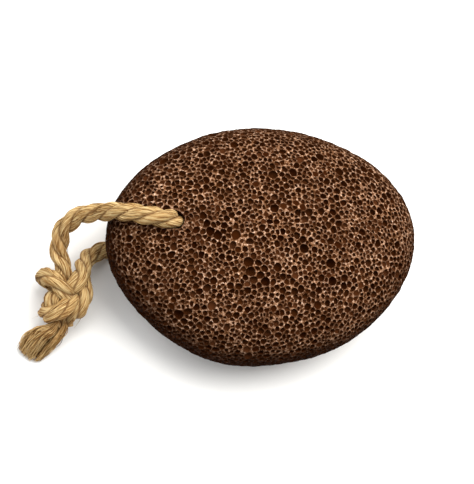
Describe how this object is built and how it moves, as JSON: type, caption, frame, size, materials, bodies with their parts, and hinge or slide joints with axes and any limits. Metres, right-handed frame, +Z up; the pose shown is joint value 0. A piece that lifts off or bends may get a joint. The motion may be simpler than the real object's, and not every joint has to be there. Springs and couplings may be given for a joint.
{
  "type": "pumice stone on a rope loop",
  "caption": "Oval pumice foot stone with open pores, pierced near one end for a knotted rope loop with frayed ends, lying flat.",
  "frame": {"origin": "middle of the stone's base, where it rests, without the rope", "axes": "+X along the stone's length, away from the rope's end; +Y across its width; +Z up through its thickness"},
  "size_m": [0.1328, 0.0791, 0.0385],
  "materials": {
    "stone": "rough, open pores, dark brown pits between tan-brown walls",
    "rope": "three-strand laid natural fibre, golden tan, dry"
  },
  "bodies": {
    "root": {"stone": "stone", "rope_loop": "rope", "rope_knot": "rope", "rope_ends": "rope"}
  },
  "joints": []
}
